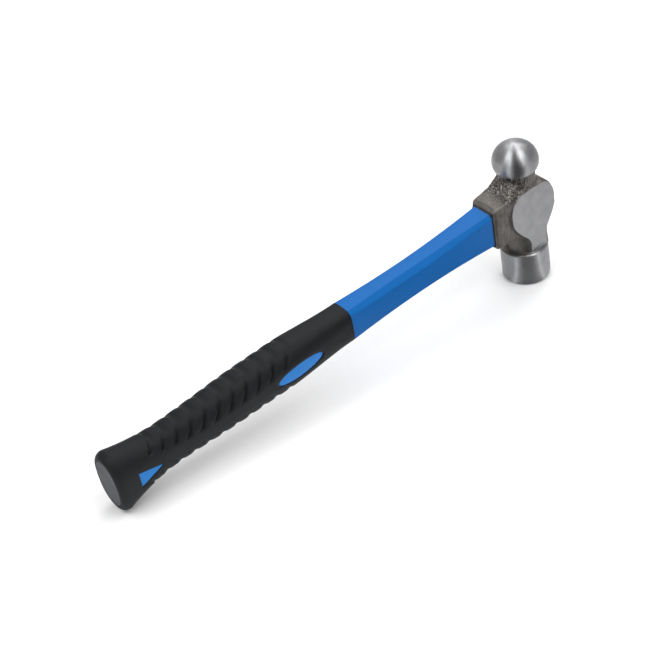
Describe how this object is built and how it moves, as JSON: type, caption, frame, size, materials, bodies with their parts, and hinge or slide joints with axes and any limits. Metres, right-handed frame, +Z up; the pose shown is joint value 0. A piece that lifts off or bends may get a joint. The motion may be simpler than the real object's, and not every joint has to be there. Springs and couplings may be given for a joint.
{
  "type": "ball peen hammer",
  "caption": "Ball peen hammer: forged steel head with a ball and a flat striking face, on a fibreglass handle with a moulded jacket and a grooved soft grip.",
  "frame": {"origin": "centre of the flat striking face", "axes": "+Z up the head's axis from the striking face to the ball; the handle leaves the head along -X; Y runs across the two cheeks"},
  "size_m": [0.3305, 0.0304, 0.099],
  "materials": {
    "head_steel": "ball, cheeks and striking poll ground and satin polished; socket, neck and waist left as forged, brown-grey and rough",
    "epoxy": "cast resin, semi-gloss",
    "seal_rubber": "matte",
    "fibreglass": "pultruded rod, fine lengthwise fibres",
    "jacket_blue": "injection moulded, satin gloss with fine mould texture",
    "grip_black": "matte moulded thermoplastic rubber, fine grain",
    "inlay_blue": "matte moulded",
    "cap_grey": "matte moulded, light grain"
  },
  "bodies": {
    "root": {"head": "head_steel", "eye_epoxy": "epoxy", "eye_seal": "seal_rubber", "fibreglass_core": "fibreglass", "handle_jacket": "jacket_blue", "grip_sleeve": "grip_black", "oval_inlay_left": "inlay_blue", "oval_inlay_right": "inlay_blue", "rear_inlay_left": "inlay_blue", "rear_inlay_right": "inlay_blue", "butt_cap": "cap_grey"}
  },
  "joints": []
}
